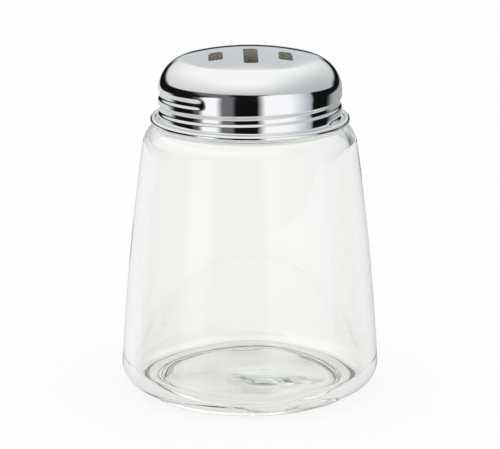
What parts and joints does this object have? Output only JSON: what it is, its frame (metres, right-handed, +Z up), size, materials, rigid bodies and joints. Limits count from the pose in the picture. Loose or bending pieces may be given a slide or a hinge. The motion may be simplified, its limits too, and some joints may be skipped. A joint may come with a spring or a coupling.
{
  "type": "spice shaker",
  "caption": "Clear glass spice shaker with a tapered jar and a screwed, chrome-plated dome cap whose crown has three slots.",
  "frame": {"origin": "centre of the jar's foot on the table", "axes": "+Z up along the jar's axis; the slots of the cap run along Y"},
  "size_m": [0.073, 0.073, 0.0973],
  "materials": {
    "jar_glass": "clear, polished",
    "cap_chrome": "mirror plated",
    "liner_plastic": "matte"
  },
  "bodies": {
    "jar": {"glass_jar": "jar_glass"},
    "liner": {"cap_liner": "liner_plastic"},
    "cap": {"screw_cap": "cap_chrome"}
  },
  "joints": [
    {"name": "cap_lift", "type": "slide", "parent": "jar", "child": "liner", "axis": [0, 0, 1], "range_m": [0, 0.0075]},
    {"name": "cap_turn", "type": "hinge", "parent": "liner", "child": "cap", "pos_m": [0, 0, 0.0873], "axis": [0, 0, 1], "range_deg": [0, 630]}
  ],
  "couplings": [
    {"joint": "cap_lift", "follows": "cap_turn", "m_per_rad": 0.00067376}
  ]
}
